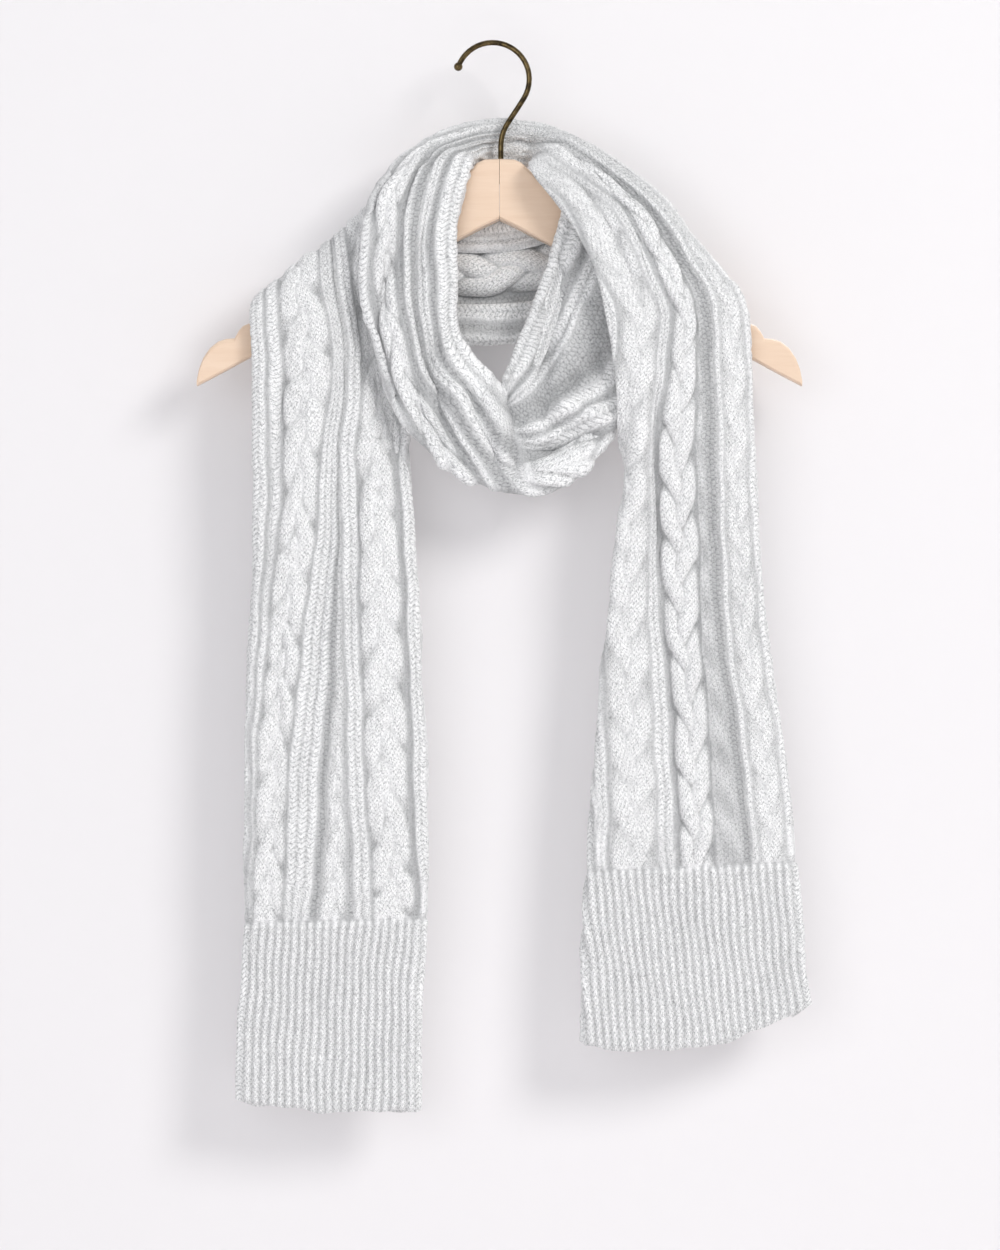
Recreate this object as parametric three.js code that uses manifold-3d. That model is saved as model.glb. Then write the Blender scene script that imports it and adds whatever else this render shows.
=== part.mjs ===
// A long cable-knit scarf wound once around the neck of a wooden coat hanger.
// Millimetres, +Z up, the front faces -Y. The origin is where the hook hangs: the inside of its top.

import * as THREE from 'three';
import { mergeVertices } from 'three/addons/utils/BufferGeometryUtils.js';
import Module from 'manifold-3d';

const wasm = await Module();
wasm.setup();

// ---------- driving dimensions ----------

const SEAM_X = 5; // the glued centre seam of the hanger stands this far right of the held point
const GAP = 0.3; // clearance where two pieces meet

const SCARF_WALL = 4.2; // thickness of the double-knitting cable fabric
const ROLL_RADIUS = 3.2; // middle of the cloth where a long edge turns back behind itself
const ROLL_LENGTH = Math.PI * ROLL_RADIUS; // cloth used up by one such turn
const ROLL_STEPS = 3;
const FACE_POINTS = 7; // points across the flat part of a section, between its two turned edges
const MITRE_LIMIT = 0.6;

const WIRE_RADIUS = 2;
const BORE_RADIUS = WIRE_RADIUS + GAP;
const WIRE_SIDES = 10;
const BALL_RADIUS = 3.3;
const HOOK_RADIUS = 26.9; // centre line of the wire's large bend
const HOOK_TIP_ANGLE = 160; // degrees, counted from +X towards +Z
const HOOK_LOW_ANGLE = -32;
const STEM_X = 1; // the stem, beside the centre seam
const STEM_TOP_Z = -74;
const NECK_BEND_RADIUS = 30; // where the wire turns down into the wood
const STEM_BOTTOM_Z = -102;
const BORE_BOTTOM_Z = -103;

const ARM_CHAMFER = 1.4;
const ARM_CROWN = 3.2; // rounding of the arm's upper edges
const ARM_SWEEP = 8; // how far the tips reach forward of the neck
const ARM_LENGTH = 221.5; // centre seam to tip

// One row for each station along an arm: x from the seam, top and bottom heights, half thickness.
const armStations = [
  { x: GAP / 2, top: -84.3, bottom: -128.2, half: 11 },
  { x: 11, top: -84.8, bottom: -133.4, half: 11 },
  { x: 16, top: -87, bottom: -135.9, half: 10.9 },
  { x: 21, top: -91.5, bottom: -138.6, half: 10.6 },
  { x: 33, top: -102, bottom: -144.7, half: 9.6 },
  { x: 46, top: -113, bottom: -151.6, half: 8.4 },
  { x: 73, top: -133.5, bottom: -166, half: 7 },
  { x: 110, top: -157.5, bottom: -186.6, half: 7 },
  { x: 146, top: -180.5, bottom: -207.5, half: 7 },
  { x: 181, top: -204, bottom: -228.9, half: 7 },
  { x: 188, top: -207, bottom: -232.6, half: 7 },
  { x: 191, top: -210.5, bottom: -234.3, half: 7 },
  { x: 194, top: -216, bottom: -236, half: 7 },
  { x: 200, top: -216.4, bottom: -239.3, half: 6.9 },
  { x: 206, top: -218.4, bottom: -242.6, half: 6.8 },
  { x: 212, top: -223.2, bottom: -245.8, half: 6.7 },
  { x: 217, top: -230.6, bottom: -248.4, half: 6.5 },
  { x: 220, top: -238.4, bottom: -250, half: 6.2 },
  { x: ARM_LENGTH, top: -246.6, bottom: -250.9, half: 5.6 },
];

// The scarf, from the hem of the left tail to the hem of the right tail, in the hanger's frame.
// One row for each section across the cloth: a is the outer long edge and b the fold at the neck side.
// curlA and curlB are the widths turned back behind, turnB the angle in degrees that the neck side
// turns through, and crown the bulge of the face. pleats lie at a share of the way from a to b: a
// positive depth is a ridge, a negative one a trough, and half is its half width. Pleats fade out
// towards both ends of their stretch. sag lets the middle of a section hang below its two edges.
const stretches = [
  {
    name: 'left_hem',
    colour: 0xd9dcdb,
    steps: 1,
    defaults: { curlA: 36, curlB: 34, turnB: 180, crown: 1 },
    pleats: [],
    rows: [
      { ax: -189, ay: -19, az: -775, bx: -60, by: -19, bz: -781, sag: 3 },
      { ax: -189, ay: -19, az: -729, bx: -60, by: -19, bz: -732 },
      { ax: -187, ay: -19, az: -685, bx: -59, by: -19, bz: -686 },
    ],
  },
  {
    name: 'left_tail',
    colour: 0xd4d8d7,
    steps: 2,
    defaults: { curlA: 36, curlB: 34, turnB: 180, crown: 1.5 },
    pleats: [
      { at: 0.16, depth: -2, half: 7 },
      { at: 0.8, depth: 2.5, half: 12 },
    ],
    rows: [
      { ax: -184, ay: -20, az: -643, bx: -55, by: -20, bz: -640 },
      { ax: -184, ay: -20, az: -590, bx: -54, by: -20, bz: -588 },
      { ax: -184, ay: -20, az: -530, bx: -55, by: -20, bz: -530 },
      { ax: -182, ay: -20, az: -460, bx: -58, by: -20, bz: -458 },
      { ax: -179, ay: -21, az: -397, bx: -62, by: -21, bz: -394 },
      { ax: -178, ay: -21, az: -350, bx: -65, by: -21, bz: -346 },
      { ax: -178, ay: -22, az: -310, bx: -66, by: -21, bz: -307 },
    ],
  },
  {
    name: 'left_shoulder',
    colour: 0xdde0df,
    steps: 2,
    defaults: { curlA: 20, curlB: 20, turnB: 180, crown: 1 },
    pleats: [],
    rows: [
      { ax: -178, ay: -23, az: -273, bx: -67, by: -20, bz: -268, curlA: 30, curlB: 30 },
      { ax: -179, ay: -24, az: -240, bx: -68, by: -20, bz: -222 },
      { ax: -180, ay: -24, az: -211, bx: -69, by: -20, bz: -178, curlA: 14 },
      { ax: -179, ay: -18, az: -191, bx: -70, by: -18, bz: -136, curlA: 8 },
      { ax: -174, ay: -3, az: -184, bx: -71, by: -8, bz: -107, curlA: 6 },
      { ax: -166, ay: 12, az: -190, bx: -69, by: 6, bz: -99, curlA: 8 },
      { ax: -146, ay: 20, az: -204, bx: -64, by: 16, bz: -104 },
      { ax: -114, ay: 22, az: -214, bx: -56, by: 20, bz: -114 },
    ],
  },
  {
    name: 'back_pass',
    colour: 0xcfd3d2,
    steps: 2,
    defaults: { curlA: 24, curlB: 24, turnB: 180, crown: 4 },
    pleats: [
      { at: 0.22, depth: -4, half: 8 },
      { at: 0.55, depth: -4, half: 9 },
    ],
    rows: [
      { ax: -77, ay: 22, az: -217, bx: -43, by: 20, bz: -122 },
      { ax: -43, ay: 22, az: -216, bx: -27, by: 20, bz: -124 },
      { ax: -11, ay: 22, az: -216, bx: -6, by: 20, bz: -124 },
      { ax: 21, ay: 22, az: -214, bx: 18, by: 20, bz: -121 },
      { ax: 56, ay: 21, az: -208, bx: 40, by: 19, bz: -113 },
    ],
  },
  {
    name: 'inner_right',
    colour: 0xc9cdcc,
    steps: 2,
    defaults: { curlA: 20, curlB: 18, turnB: 180, crown: 3 },
    pleats: [
      { at: 0.7, depth: -7, half: 12 },
      { at: 0.28, depth: -3, half: 10 },
    ],
    rows: [
      { ax: 92, ay: 20, az: -192, bx: 51, by: 17, bz: -102 },
      { ax: 114, ay: 18, az: -166, bx: 57, by: 10, bz: -93 },
      { ax: 126, ay: 2, az: -148, bx: 58, by: -4, bz: -91 },
      { ax: 130, ay: -15, az: -158, bx: 53, by: -18, bz: -107 },
      { ax: 127, ay: -21, az: -185, bx: 44, by: -21, bz: -139 },
      { ax: 117, ay: -22, az: -220, bx: 32, by: -22, bz: -174 },
      { ax: 104, ay: -23, az: -252, bx: 22, by: -23, bz: -203 },
      { ax: 88, ay: -25, az: -277, bx: 14, by: -25, bz: -222 },
      { ax: 72, ay: -27, az: -297, bx: 9, by: -26, bz: -235 },
      { ax: 51, ay: -28, az: -319, bx: 5, by: -27, bz: -245 },
    ],
  },
  {
    name: 'left_loop',
    colour: 0xe0e3e2,
    steps: 2,
    defaults: { curlA: 22, curlB: 22, turnB: 180, crown: 5 },
    pleats: [
      { at: 0.3, depth: -3, half: 9 },
      { at: 0.68, depth: -3, half: 9 },
    ],
    rows: [
      { ax: 25, ay: -30, az: -330, bx: 3, by: -28, bz: -251 },
      { ax: 0, ay: -31, az: -327, bx: -2, by: -28, bz: -250 },
      { ax: -24, ay: -32, az: -318, bx: -8, by: -28, bz: -243 },
      { ax: -46, ay: -34, az: -303, bx: -16, by: -27, bz: -235 },
      { ax: -68, ay: -35, az: -280, bx: -24, by: -27, bz: -224 },
      { ax: -81, ay: -35, az: -256, bx: -30, by: -26, bz: -213 },
      { ax: -90, ay: -36, az: -225, bx: -32, by: -26, bz: -195 },
      { ax: -98, ay: -37, az: -196, bx: -32, by: -26, bz: -174 },
      { ax: -100, ay: -37, az: -167, bx: -33, by: -26, bz: -154 },
      { ax: -98, ay: -36, az: -139, bx: -32, by: -25, bz: -132 },
      { ax: -95, ay: -33, az: -118, bx: -28, by: -23, bz: -113 },
      { ax: -87, ay: -27, az: -101, bx: -24, by: -21, bz: -98 },
    ],
  },
  {
    name: 'top_pass',
    colour: 0xd2d6d5,
    steps: 2,
    defaults: { curlA: 12, curlB: 24, turnB: 180, crown: 3 },
    pleats: [],
    rows: [
      { ax: -73, ay: -16, az: -85, bx: -21, by: -15, bz: -85, turnB: 150 },
      { ax: -51, ay: -5, az: -69, bx: -19, by: -3, bz: -83, turnB: 150, curlB: 10 },
      { ax: -25, ay: 7, az: -57, bx: -10, by: 10, bz: -77, turnB: 80, curlB: 6 },
      { ax: 1, ay: 12, az: -53, bx: 0, by: 14, bz: -75, turnB: 10, curlB: 20 },
      { ax: 16, ay: 12, az: -55, bx: 14, by: 14, bz: -71, turnB: 8, curlB: 20 },
      { ax: 28, ay: 10, az: -57, bx: 24, by: 12, bz: -71, turnB: 8, curlB: 8 },
      { ax: 41, ay: 6, az: -61, bx: 32, by: 4, bz: -73, turnB: 6, curlB: 7 },
      { ax: 56, ay: 0, az: -68, bx: 42, by: -10, bz: -77, turnB: 4, curlB: 22 },
    ],
  },
  {
    name: 'right_shoulder',
    colour: 0xe3e6e5,
    steps: 2,
    defaults: { curlA: 14, curlB: 32, turnB: 8, crown: 4 },
    pleats: [{ at: 0.45, depth: -3, half: 10 }],
    rows: [
      { ax: 73, ay: -8, az: -78, bx: 54, by: -18, bz: -87, turnB: 2, curlB: 27 },
      { ax: 103, ay: -18, az: -100, bx: 73, by: -26, bz: -105, turnB: 2, curlB: 32 },
      { ax: 123, ay: -26, az: -119, bx: 85, by: -33, bz: -121, turnB: 4, curlB: 34 },
      { ax: 139, ay: -30, az: -142, bx: 95, by: -38, bz: -141, curlB: 32 },
      { ax: 158, ay: -30, az: -164, bx: 103, by: -40, bz: -167, turnB: 8, curlB: 27 },
      { ax: 178, ay: -27, az: -192, bx: 108, by: -41, bz: -197, turnB: 8, curlB: 25 },
      { ax: 183, ay: -25, az: -234, bx: 109, by: -41, bz: -234, turnB: 14, curlB: 20 },
      { ax: 184, ay: -23, az: -276, bx: 105, by: -39, bz: -276, turnB: 40, curlB: 14 },
    ],
  },
  {
    name: 'right_tail',
    colour: 0xd7dbda,
    steps: 2,
    defaults: { curlA: 8, curlB: 30, turnB: 180, crown: 2 },
    pleats: [
      { at: 0.62, depth: -3, half: 11 },
      { at: 0.42, depth: -2, half: 9 },
    ],
    rows: [
      { ax: 186, ay: -22, az: -320, bx: 97, by: -34, bz: -316, turnB: 100, curlB: 20 },
      { ax: 188, ay: -21, az: -364, bx: 88, by: -28, bz: -364, turnB: 140 },
      { ax: 192, ay: -20, az: -408, bx: 83, by: -23, bz: -408, turnB: 170 },
      { ax: 197, ay: -20, az: -455, bx: 76, by: -21, bz: -455 },
      { ax: 205, ay: -20, az: -508, bx: 73, by: -20, bz: -506 },
      { ax: 212, ay: -20, az: -561, bx: 68, by: -20, bz: -565 },
    ],
  },
  {
    name: 'right_hem',
    colour: 0xdcdfde,
    steps: 1,
    defaults: { curlA: 8, curlB: 30, turnB: 180, crown: 1 },
    pleats: [],
    rows: [
      { ax: 214, ay: -20, az: -599, bx: 65, by: -20, bz: -606 },
      { ax: 220, ay: -20, az: -655, bx: 63, by: -20, bz: -670, sag: 6 },
      { ax: 225, ay: -20, az: -706, bx: 62, by: -20, bz: -733, sag: 15 },
    ],
  },
];

// ---------- meshes from rings ----------

// Joins rings of equal length into one closed body. caps lists the triangles that close an end,
// as places along a ring.
function bodyFromRings(rings, caps) {
  const count = rings[0].length;
  const positions = rings.flat().flatMap((p) => [p.x, p.y, p.z]);
  const triangles = [];
  for (let i = 0; i < rings.length - 1; i += 1) {
    for (let j = 0; j < count; j += 1) {
      const a = i * count + j;
      const b = i * count + ((j + 1) % count);
      triangles.push([a, b, b + count], [a, b + count, a + count]);
    }
  }
  const last = (rings.length - 1) * count;
  for (const [a, b, c] of caps) {
    triangles.push([c, b, a], [last + a, last + b, last + c]);
  }
  const geometry = new THREE.BufferGeometry();
  geometry.setAttribute('position', new THREE.Float32BufferAttribute(positions, 3));
  if (signedVolume(positions, triangles) < 0) {
    triangles.forEach((t) => t.reverse());
  }
  geometry.setIndex(triangles.flat());
  geometry.computeVertexNormals();
  return geometry;
}

function signedVolume(positions, triangles) {
  const corner = (i) => new THREE.Vector3().fromArray(positions, i * 3);
  let volume = 0;
  for (const [a, b, c] of triangles) {
    volume += corner(a).dot(corner(b).cross(corner(c))) / 6;
  }
  return volume;
}

// A strip ring runs out along one face of the cloth and back along the other.
function stripCaps(count) {
  const caps = [];
  for (let j = 0; j < count / 2 - 1; j += 1) {
    const k = count - 1 - j;
    caps.push([j, j + 1, k - 1], [j, k - 1, k]);
  }
  return caps;
}

function fanCaps(count) {
  const caps = [];
  for (let j = 1; j < count - 1; j += 1) {
    caps.push([0, j, j + 1]);
  }
  return caps;
}

function toSolid(geometry) {
  const bare = geometry.clone();
  bare.deleteAttribute('normal');
  bare.deleteAttribute('uv');
  const merged = mergeVertices(bare, 1e-4);
  const vertProperties = new Float32Array(merged.attributes.position.array);
  const triVerts = new Uint32Array(merged.index.array);
  return new wasm.Manifold(new wasm.Mesh({ numProp: 3, vertProperties, triVerts }));
}

function fromSolid(solid) {
  const mesh = solid.getMesh();
  const geometry = new THREE.BufferGeometry();
  geometry.setAttribute('position', new THREE.Float32BufferAttribute(mesh.vertProperties, 3));
  geometry.setIndex([...mesh.triVerts]);
  geometry.computeVertexNormals();
  return geometry;
}

// ---------- the scarf ----------

function catmullRom(a, b, c, d, t) {
  const m0 = (c - a) / 2;
  const m1 = (d - b) / 2;
  const t2 = t * t;
  const t3 = t2 * t;
  return (2 * t3 - 3 * t2 + 1) * b + (t3 - 2 * t2 + t) * m0 + (3 * t2 - 2 * t3) * c + (t3 - t2) * m1;
}

// All the sections of the scarf in order, with the rows' values smoothed between them.
function sampleSections() {
  const rows = stretches.flatMap((s) => s.rows.map((row) => ({ sag: 0, ...s.defaults, ...row })));
  const steps = stretches.flatMap((s) => s.rows.map(() => s.steps));
  const samples = [];
  for (let k = 0; k < rows.length - 1; k += 1) {
    const near = [rows[Math.max(k - 1, 0)], rows[k], rows[k + 1], rows[Math.min(k + 2, rows.length - 1)]];
    for (let j = 0; j < steps[k]; j += 1) {
      samples.push(blendRows(near, j / steps[k]));
    }
  }
  samples.push(blendRows([rows.at(-2), rows.at(-1), rows.at(-1), rows.at(-1)], 0));
  samples.forEach((sample, i) => orientSection(sample, samples[i - 1] ?? sample, samples[i + 1] ?? sample));
  return samples;
}

function blendRows(near, t) {
  const value = (key) => catmullRom(near[0][key], near[1][key], near[2][key], near[3][key], t);
  return {
    a: new THREE.Vector3(value('ax'), value('ay'), value('az')),
    b: new THREE.Vector3(value('bx'), value('by'), value('bz')),
    curlA: value('curlA'),
    curlB: value('curlB'),
    turnB: THREE.MathUtils.degToRad(Math.min(180, Math.max(1, value('turnB')))),
    crown: value('crown'),
    sag: value('sag'),
  };
}

// across runs from a to b, along follows the cloth, and out leaves its face.
function orientSection(sample, before, after) {
  const middle = (s) => s.a.clone().add(s.b).multiplyScalar(0.5);
  sample.across = sample.b.clone().sub(sample.a);
  sample.width = sample.across.length();
  sample.across.normalize();
  sample.along = middle(after).sub(middle(before));
  sample.along.addScaledVector(sample.across, -sample.along.dot(sample.across)).normalize();
  sample.out = sample.across.clone().cross(sample.along);
}

// The middle of the cloth across one section, as distances along across and out. strength is how
// far the stretch's pleats have opened at this section, from 0 to 1.
function sectionLine(sample, pleats, strength) {
  const { width, curlA, curlB, turnB, crown } = sample;
  const line = [new THREE.Vector2(ROLL_RADIUS + curlA, -2 * ROLL_RADIUS)];
  for (let i = 0; i < ROLL_STEPS; i += 1) {
    const angle = -Math.PI / 2 - (i / ROLL_STEPS) * Math.PI;
    line.push(
      new THREE.Vector2(
        ROLL_RADIUS * (1 + Math.cos(angle)),
        ROLL_RADIUS * (Math.sin(angle) - 1),
      ),
    );
  }
  const face = width - 2 * ROLL_RADIUS;
  for (let i = 0; i <= FACE_POINTS + 1; i += 1) {
    const share = i / (FACE_POINTS + 1);
    let height = crown * (1 - (2 * share - 1) ** 2);
    for (const pleat of pleats) {
      const away = ((share - pleat.at) * face) / pleat.half;
      height += strength * pleat.depth * Math.exp(-away * away);
    }
    line.push(new THREE.Vector2(ROLL_RADIUS + share * face, i === 0 || i > FACE_POINTS ? 0 : height));
  }
  const radius = ROLL_LENGTH / turnB;
  const centre = new THREE.Vector2(width - ROLL_RADIUS, -radius);
  for (let i = 1; i <= ROLL_STEPS; i += 1) {
    const angle = Math.PI / 2 - (i / ROLL_STEPS) * turnB;
    line.push(new THREE.Vector2(Math.cos(angle), Math.sin(angle)).multiplyScalar(radius).add(centre));
  }
  line.push(new THREE.Vector2(Math.cos(turnB), -Math.sin(turnB)).multiplyScalar(curlB).add(line.at(-1)));
  return line;
}

// Both faces of the cloth around its middle line, as one ring of points in space.
function sectionRing(sample, pleats, strength) {
  const line = sectionLine(sample, pleats, strength);
  const faces = [[], []];
  line.forEach((point, i) => {
    const before = point.clone().sub(line[i - 1] ?? line[i + 1].clone().lerp(point, 2));
    const after = (line[i + 1] ?? point.clone().add(before)).clone().sub(point);
    const step = before.normalize().add(after.normalize());
    const mitre = Math.max(MITRE_LIMIT, step.length() / 2);
    const normal = new THREE.Vector2(-step.y, step.x).normalize().divideScalar(mitre);
    faces.forEach((facePoints, side) => {
      const offset = (side === 0 ? SCARF_WALL : -SCARF_WALL) / 2;
      const flat = point.clone().addScaledVector(normal, offset);
      const hang = sample.sag * Math.sin(Math.PI * THREE.MathUtils.clamp(flat.x / sample.width, 0, 1));
      facePoints.push(
        sample.a.clone().addScaledVector(sample.across, flat.x).addScaledVector(sample.out, flat.y)
          .sub(new THREE.Vector3(0, 0, hang)),
      );
    });
  });
  return [...faces[0], ...faces[1].reverse()];
}

function buildScarf() {
  const samples = sampleSections();
  const pieces = new THREE.Group();
  let first = 0;
  stretches.forEach((stretch, index) => {
    const isLast = index === stretches.length - 1;
    const last = isLast ? samples.length - 1 : first + stretch.rows.length * stretch.steps;
    const rings = samples.slice(first, last + 1).map((sample, i) => {
      const strength = Math.sqrt(Math.sin((Math.PI * i) / (last - first)));
      return sectionRing(sample, stretch.pleats, strength || 0);
    });
    rings[0].forEach((p) => p.addScaledVector(samples[first].along, GAP / 2));
    rings.at(-1).forEach((p) => p.addScaledVector(samples[last].along, -GAP / 2));
    const geometry = bodyFromRings(rings, stripCaps(rings[0].length));
    pieces.add(namedMesh(stretch.name, geometry, knitMaterial(stretch.colour)));
    first = last;
  });
  return pieces;
}

// ---------- the hanger ----------

function sweepForward(x) {
  return -ARM_SWEEP * (x / ARM_LENGTH) ** 2;
}

function armRing(station, side) {
  const { x, top, bottom, half } = station;
  const height = top - bottom;
  const crown = Math.min(ARM_CROWN, height * 0.3);
  const chamfer = Math.min(ARM_CHAMFER, height * 0.2);
  const corners = [
    [half - chamfer, bottom],
    [half, bottom + chamfer],
    [half, top - crown],
    [half - crown * 0.3, top - crown * 0.3],
    [half - crown, top],
    [crown - half, top],
    [crown * 0.3 - half, top - crown * 0.3],
    [-half, top - crown],
    [-half, bottom + chamfer],
    [chamfer - half, bottom],
  ];
  return corners.map(([y, z]) => new THREE.Vector3(side * x, y + sweepForward(x), z));
}

function stemBore() {
  const length = STEM_TOP_Z - BORE_BOTTOM_Z;
  const bore = new THREE.CylinderGeometry(BORE_RADIUS, BORE_RADIUS, length, 2 * WIRE_SIDES);
  bore.rotateX(Math.PI / 2);
  bore.translate(STEM_X, 0, BORE_BOTTOM_Z + length / 2);
  return toSolid(bore);
}

function buildArm(name, side) {
  const rings = armStations.map((station) => armRing(station, side));
  const arm = toSolid(bodyFromRings(rings, fanCaps(rings[0].length)));
  return namedMesh(name, fromSolid(arm.subtract(stemBore())), woodMaterial());
}

// The wire's centre line: the large bend from the ball to the low side, a straight run, and a
// reverse bend into the upright stem.
function hookLine() {
  const centre = new THREE.Vector3(-SEAM_X, 0, WIRE_RADIUS - HOOK_RADIUS);
  const points = [];
  const bendSteps = 20;
  for (let i = 0; i <= bendSteps; i += 1) {
    const angle = THREE.MathUtils.degToRad(
      THREE.MathUtils.lerp(HOOK_TIP_ANGLE, HOOK_LOW_ANGLE, i / bendSteps),
    );
    points.push(
      new THREE.Vector3(Math.cos(angle), 0, Math.sin(angle)).multiplyScalar(HOOK_RADIUS).add(centre),
    );
  }
  const neckCentre = new THREE.Vector3(STEM_X + NECK_BEND_RADIUS, 0, STEM_TOP_Z);
  const neckSteps = 5;
  for (let i = 0; i <= neckSteps; i += 1) {
    const angle = THREE.MathUtils.degToRad(THREE.MathUtils.lerp(180 + HOOK_LOW_ANGLE, 180, i / neckSteps));
    points.push(
      new THREE.Vector3(Math.cos(angle), 0, Math.sin(angle))
        .multiplyScalar(NECK_BEND_RADIUS)
        .add(neckCentre),
    );
  }
  points.push(new THREE.Vector3(STEM_X, 0, (STEM_TOP_Z + STEM_BOTTOM_Z) / 2));
  points.push(new THREE.Vector3(STEM_X, 0, STEM_BOTTOM_Z));
  return points;
}

function buildHook() {
  const points = hookLine();
  const section = new THREE.Shape();
  section.absarc(0, 0, WIRE_RADIUS, 0, 2 * Math.PI);
  const wire = new THREE.ExtrudeGeometry(section, {
    steps: 44,
    curveSegments: WIRE_SIDES,
    bevelEnabled: false,
    extrudePath: new THREE.CatmullRomCurve3(points),
  });
  const ball = new THREE.SphereGeometry(BALL_RADIUS, 12, 8);
  ball.translate(points[0].x, points[0].y, points[0].z);
  return namedMesh('hook', fromSolid(toSolid(wire).add(toSolid(ball))), brassMaterial());
}

// ---------- materials ----------

function knitMaterial(colour) {
  return new THREE.MeshStandardMaterial({ color: colour, roughness: 1, metalness: 0 });
}

function woodMaterial() {
  return new THREE.MeshStandardMaterial({ color: 0xf0d6b8, roughness: 0.6, metalness: 0 });
}

function brassMaterial() {
  return new THREE.MeshStandardMaterial({ color: 0x8a6a35, roughness: 0.3, metalness: 1 });
}

function namedMesh(name, geometry, material) {
  const mesh = new THREE.Mesh(geometry, material);
  mesh.name = name;
  return mesh;
}

// ---------- the whole part ----------

const part = new THREE.Group();
part.add(buildScarf(), buildArm('arm_left', -1), buildArm('arm_right', 1), buildHook());
part.position.x = SEAM_X;

export default part;
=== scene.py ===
import math

import bmesh
import bpy
import numpy as np
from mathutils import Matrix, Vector


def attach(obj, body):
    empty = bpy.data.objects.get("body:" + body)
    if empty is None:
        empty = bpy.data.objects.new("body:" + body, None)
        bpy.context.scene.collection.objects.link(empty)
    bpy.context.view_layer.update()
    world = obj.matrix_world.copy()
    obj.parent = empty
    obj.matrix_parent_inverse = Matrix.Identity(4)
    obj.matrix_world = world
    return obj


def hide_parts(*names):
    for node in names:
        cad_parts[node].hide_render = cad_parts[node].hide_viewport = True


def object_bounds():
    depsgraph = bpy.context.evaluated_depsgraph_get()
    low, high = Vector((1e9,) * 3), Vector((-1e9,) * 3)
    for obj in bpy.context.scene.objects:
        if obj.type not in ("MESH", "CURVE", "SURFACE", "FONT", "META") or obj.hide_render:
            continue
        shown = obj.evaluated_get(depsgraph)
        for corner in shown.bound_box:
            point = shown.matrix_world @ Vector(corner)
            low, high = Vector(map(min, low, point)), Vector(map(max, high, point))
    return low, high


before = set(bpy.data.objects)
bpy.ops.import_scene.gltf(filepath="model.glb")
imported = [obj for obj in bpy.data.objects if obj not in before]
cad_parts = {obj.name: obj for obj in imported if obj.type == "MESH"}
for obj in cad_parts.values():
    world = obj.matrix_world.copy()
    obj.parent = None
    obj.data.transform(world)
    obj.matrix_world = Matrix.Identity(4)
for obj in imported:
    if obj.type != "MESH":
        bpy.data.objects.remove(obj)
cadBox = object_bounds()

mm = 0.001
seamX = 5  # the hanger's seam stands this far right of the held point, so all below is moved by it

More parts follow.
